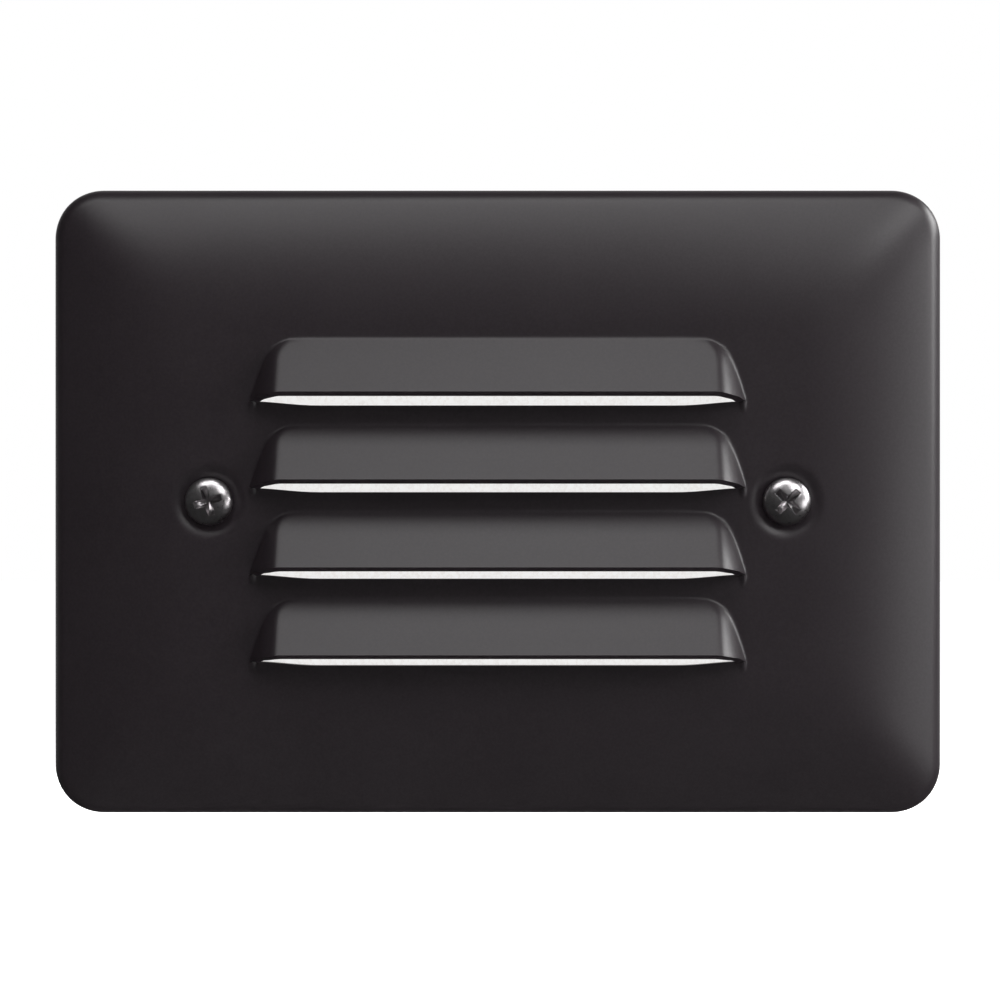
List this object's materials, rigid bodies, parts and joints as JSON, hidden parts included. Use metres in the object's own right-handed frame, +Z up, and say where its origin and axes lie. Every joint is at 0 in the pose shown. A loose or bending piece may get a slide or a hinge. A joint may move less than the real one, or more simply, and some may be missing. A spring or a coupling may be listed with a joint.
{
  "type": "step light",
  "caption": "Recessed outdoor step light: domed rectangular face plate with downward louvres, frosted lens, cast housing in the wall and a wedge-base lamp.",
  "frame": {"origin": "centre of the face plate's rim, on the plane of the wall", "axes": "+X to the right and +Z up as the light is seen on its wall, +Y into the wall; the louvres face -Y"},
  "size_m": [0.13, 0.064, 0.0945],
  "materials": {
    "bronze_coat": "satin dark bronze powder coat on pressed sheet",
    "stainless": "bright stainless steel",
    "seal_rubber": "matt black rubber",
    "silicone": "translucent white silicone",
    "frosted_glass": "frosted flat glass",
    "cast_housing": "die-cast aluminium, as cast",
    "foam": "closed-cell foam",
    "bright_aluminium": "bright rolled aluminium",
    "holder_ceramic": "unglazed cream ceramic",
    "brass": "plain brass",
    "plated_steel": "zinc-plated steel",
    "clear_glass": "clear lamp glass",
    "tungsten": "drawn tungsten",
    "lamp_wire": "plated wire",
    "block_plastic": "natural nylon",
    "black_insulation": "black silicone insulation",
    "white_insulation": "white silicone insulation",
    "black_nylon": "moulded black nylon"
  },
  "bodies": {
    "housing": {"housing": "cast_housing", "housing_gasket": "foam", "reflector": "bright_aluminium", "reflector_screws": "stainless", "lampholder": "holder_ceramic", "lampholder_contacts": "brass", "lampholder_bracket": "plated_steel", "lampholder_rivets": "plated_steel", "bracket_screws": "stainless", "terminal_block": "block_plastic", "terminal_tubes": "brass", "terminal_screws": "plated_steel", "terminal_fixing_screw": "stainless", "lower_lead": "black_insulation", "upper_lead": "white_insulation", "lead_clip": "block_plastic", "gland_body": "black_nylon", "gland_washer": "seal_rubber", "gland_locknut": "black_nylon", "gland_bush": "seal_rubber", "gland_cap": "black_nylon", "closure_plug": "cast_housing", "closure_washer": "seal_rubber"},
    "cover": {"face_plate": "bronze_coat", "lens_gasket": "silicone", "lens": "frosted_glass", "lens_retainer": "stainless", "retainer_nuts": "stainless"},
    "left_screw_carrier": {"left_screw_seal": "seal_rubber"},
    "left_screw": {"left_screw": "stainless"},
    "right_screw_carrier": {"right_screw_seal": "seal_rubber"},
    "right_screw": {"right_screw": "stainless"},
    "lamp": {"lamp_glass": "clear_glass", "lamp_filament": "tungsten", "lamp_supports": "lamp_wire", "lamp_contact_wires": "lamp_wire"}
  },
  "joints": [
    {"name": "cover_lift_off", "type": "slide", "parent": "housing", "child": "cover", "axis": [0, -1, 0], "range_m": [0, 0.06]},
    {"name": "left_screw_travel", "type": "slide", "parent": "cover", "child": "left_screw_carrier", "axis": [0, -1, 0], "range_m": [0, 0.00714]},
    {"name": "left_screw_turn", "type": "hinge", "parent": "left_screw_carrier", "child": "left_screw", "pos_m": [-0.04167, -0.0086, 0], "axis": [0, -1, 0], "range_deg": [0, 3240]},
    {"name": "right_screw_travel", "type": "slide", "parent": "cover", "child": "right_screw_carrier", "axis": [0, -1, 0], "range_m": [0, 0.00714]},
    {"name": "right_screw_turn", "type": "hinge", "parent": "right_screw_carrier", "child": "right_screw", "pos_m": [0.04167, -0.0086, 0], "axis": [0, -1, 0], "range_deg": [0, 3240]},
    {"name": "lamp_pull", "type": "slide", "parent": "housing", "child": "lamp", "axis": [1, 0, 0], "range_m": [0, 0.009]}
  ],
  "couplings": [
    {"joint": "left_screw_turn", "follows": "left_screw_travel", "rad_per_m": 7915.8},
    {"joint": "right_screw_turn", "follows": "right_screw_travel", "rad_per_m": 7915.8}
  ]
}
